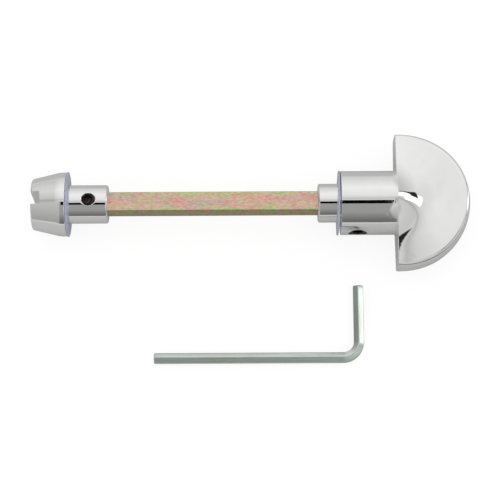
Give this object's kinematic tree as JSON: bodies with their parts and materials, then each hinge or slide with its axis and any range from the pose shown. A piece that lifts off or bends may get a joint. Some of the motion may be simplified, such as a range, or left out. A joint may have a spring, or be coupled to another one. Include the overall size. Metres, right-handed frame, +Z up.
{
  "type": "thumbturn and coin release",
  "caption": "Bathroom thumbturn with a crescent knob and a coin release on a common square spindle, with washers, set screws and a hex key.",
  "frame": {"origin": "on the spindle's axis, in the plane of the thumbturn's shoulder, where its neck meets its stem", "axes": "+X along the spindle towards the knob's crest, the knob's blade lies in the XY plane, +Z is up as the set lies on a table on its two washers"},
  "size_m": [0.1092, 0.0565, 0.0162],
  "materials": {
    "chrome": "polished chrome plate on a zinc casting",
    "yellow_zinc": "yellow iridescent zinc plate on a drawn steel bar",
    "clear_plastic": "thin clear plastic",
    "black_steel": "black oxide on hardened steel",
    "key_steel": "satin bright zinc plate on a drawn hexagon bar"
  },
  "bodies": {
    "spindle": {"spindle": "yellow_zinc"},
    "release": {"release_turn": "chrome"},
    "release_washer": {"release_washer": "clear_plastic"},
    "release_screw": {"release_grub_screw": "black_steel"},
    "turn": {"thumbturn": "chrome"},
    "turn_washer": {"thumbturn_washer": "clear_plastic"},
    "turn_screw": {"thumbturn_grub_screw": "black_steel"},
    "key": {"hex_key": "key_steel"}
  },
  "joints": [
    {"name": "turn_slide", "type": "slide", "parent": "spindle", "child": "turn", "axis": [1, 0, 0], "range_m": [-0.003, 0.025]},
    {"name": "release_slide", "type": "slide", "parent": "spindle", "child": "release", "axis": [-1, 0, 0], "range_m": [-0.0025, 0.018]},
    {"name": "turn_washer_spin", "type": "hinge", "parent": "turn", "child": "turn_washer", "pos_m": [0, 0, 0], "axis": [1, 0, 0], "continuous": true},
    {"name": "release_washer_spin", "type": "hinge", "parent": "release", "child": "release_washer", "pos_m": [-0.0679, 0, 0], "axis": [1, 0, 0], "continuous": true},
    {"name": "turn_screw_travel", "type": "slide", "parent": "turn", "child": "turn_screw", "axis": [0, -1, 0], "range_m": [0, 0.008]},
    {"name": "release_screw_travel", "type": "slide", "parent": "release", "child": "release_screw", "axis": [0, 0, 1], "range_m": [0, 0.005]},
    {"name": "key_away", "type": "slide", "parent": "spindle", "child": "key", "axis": [0, -1, 0], "range_m": [0, 0.06]}
  ]
}
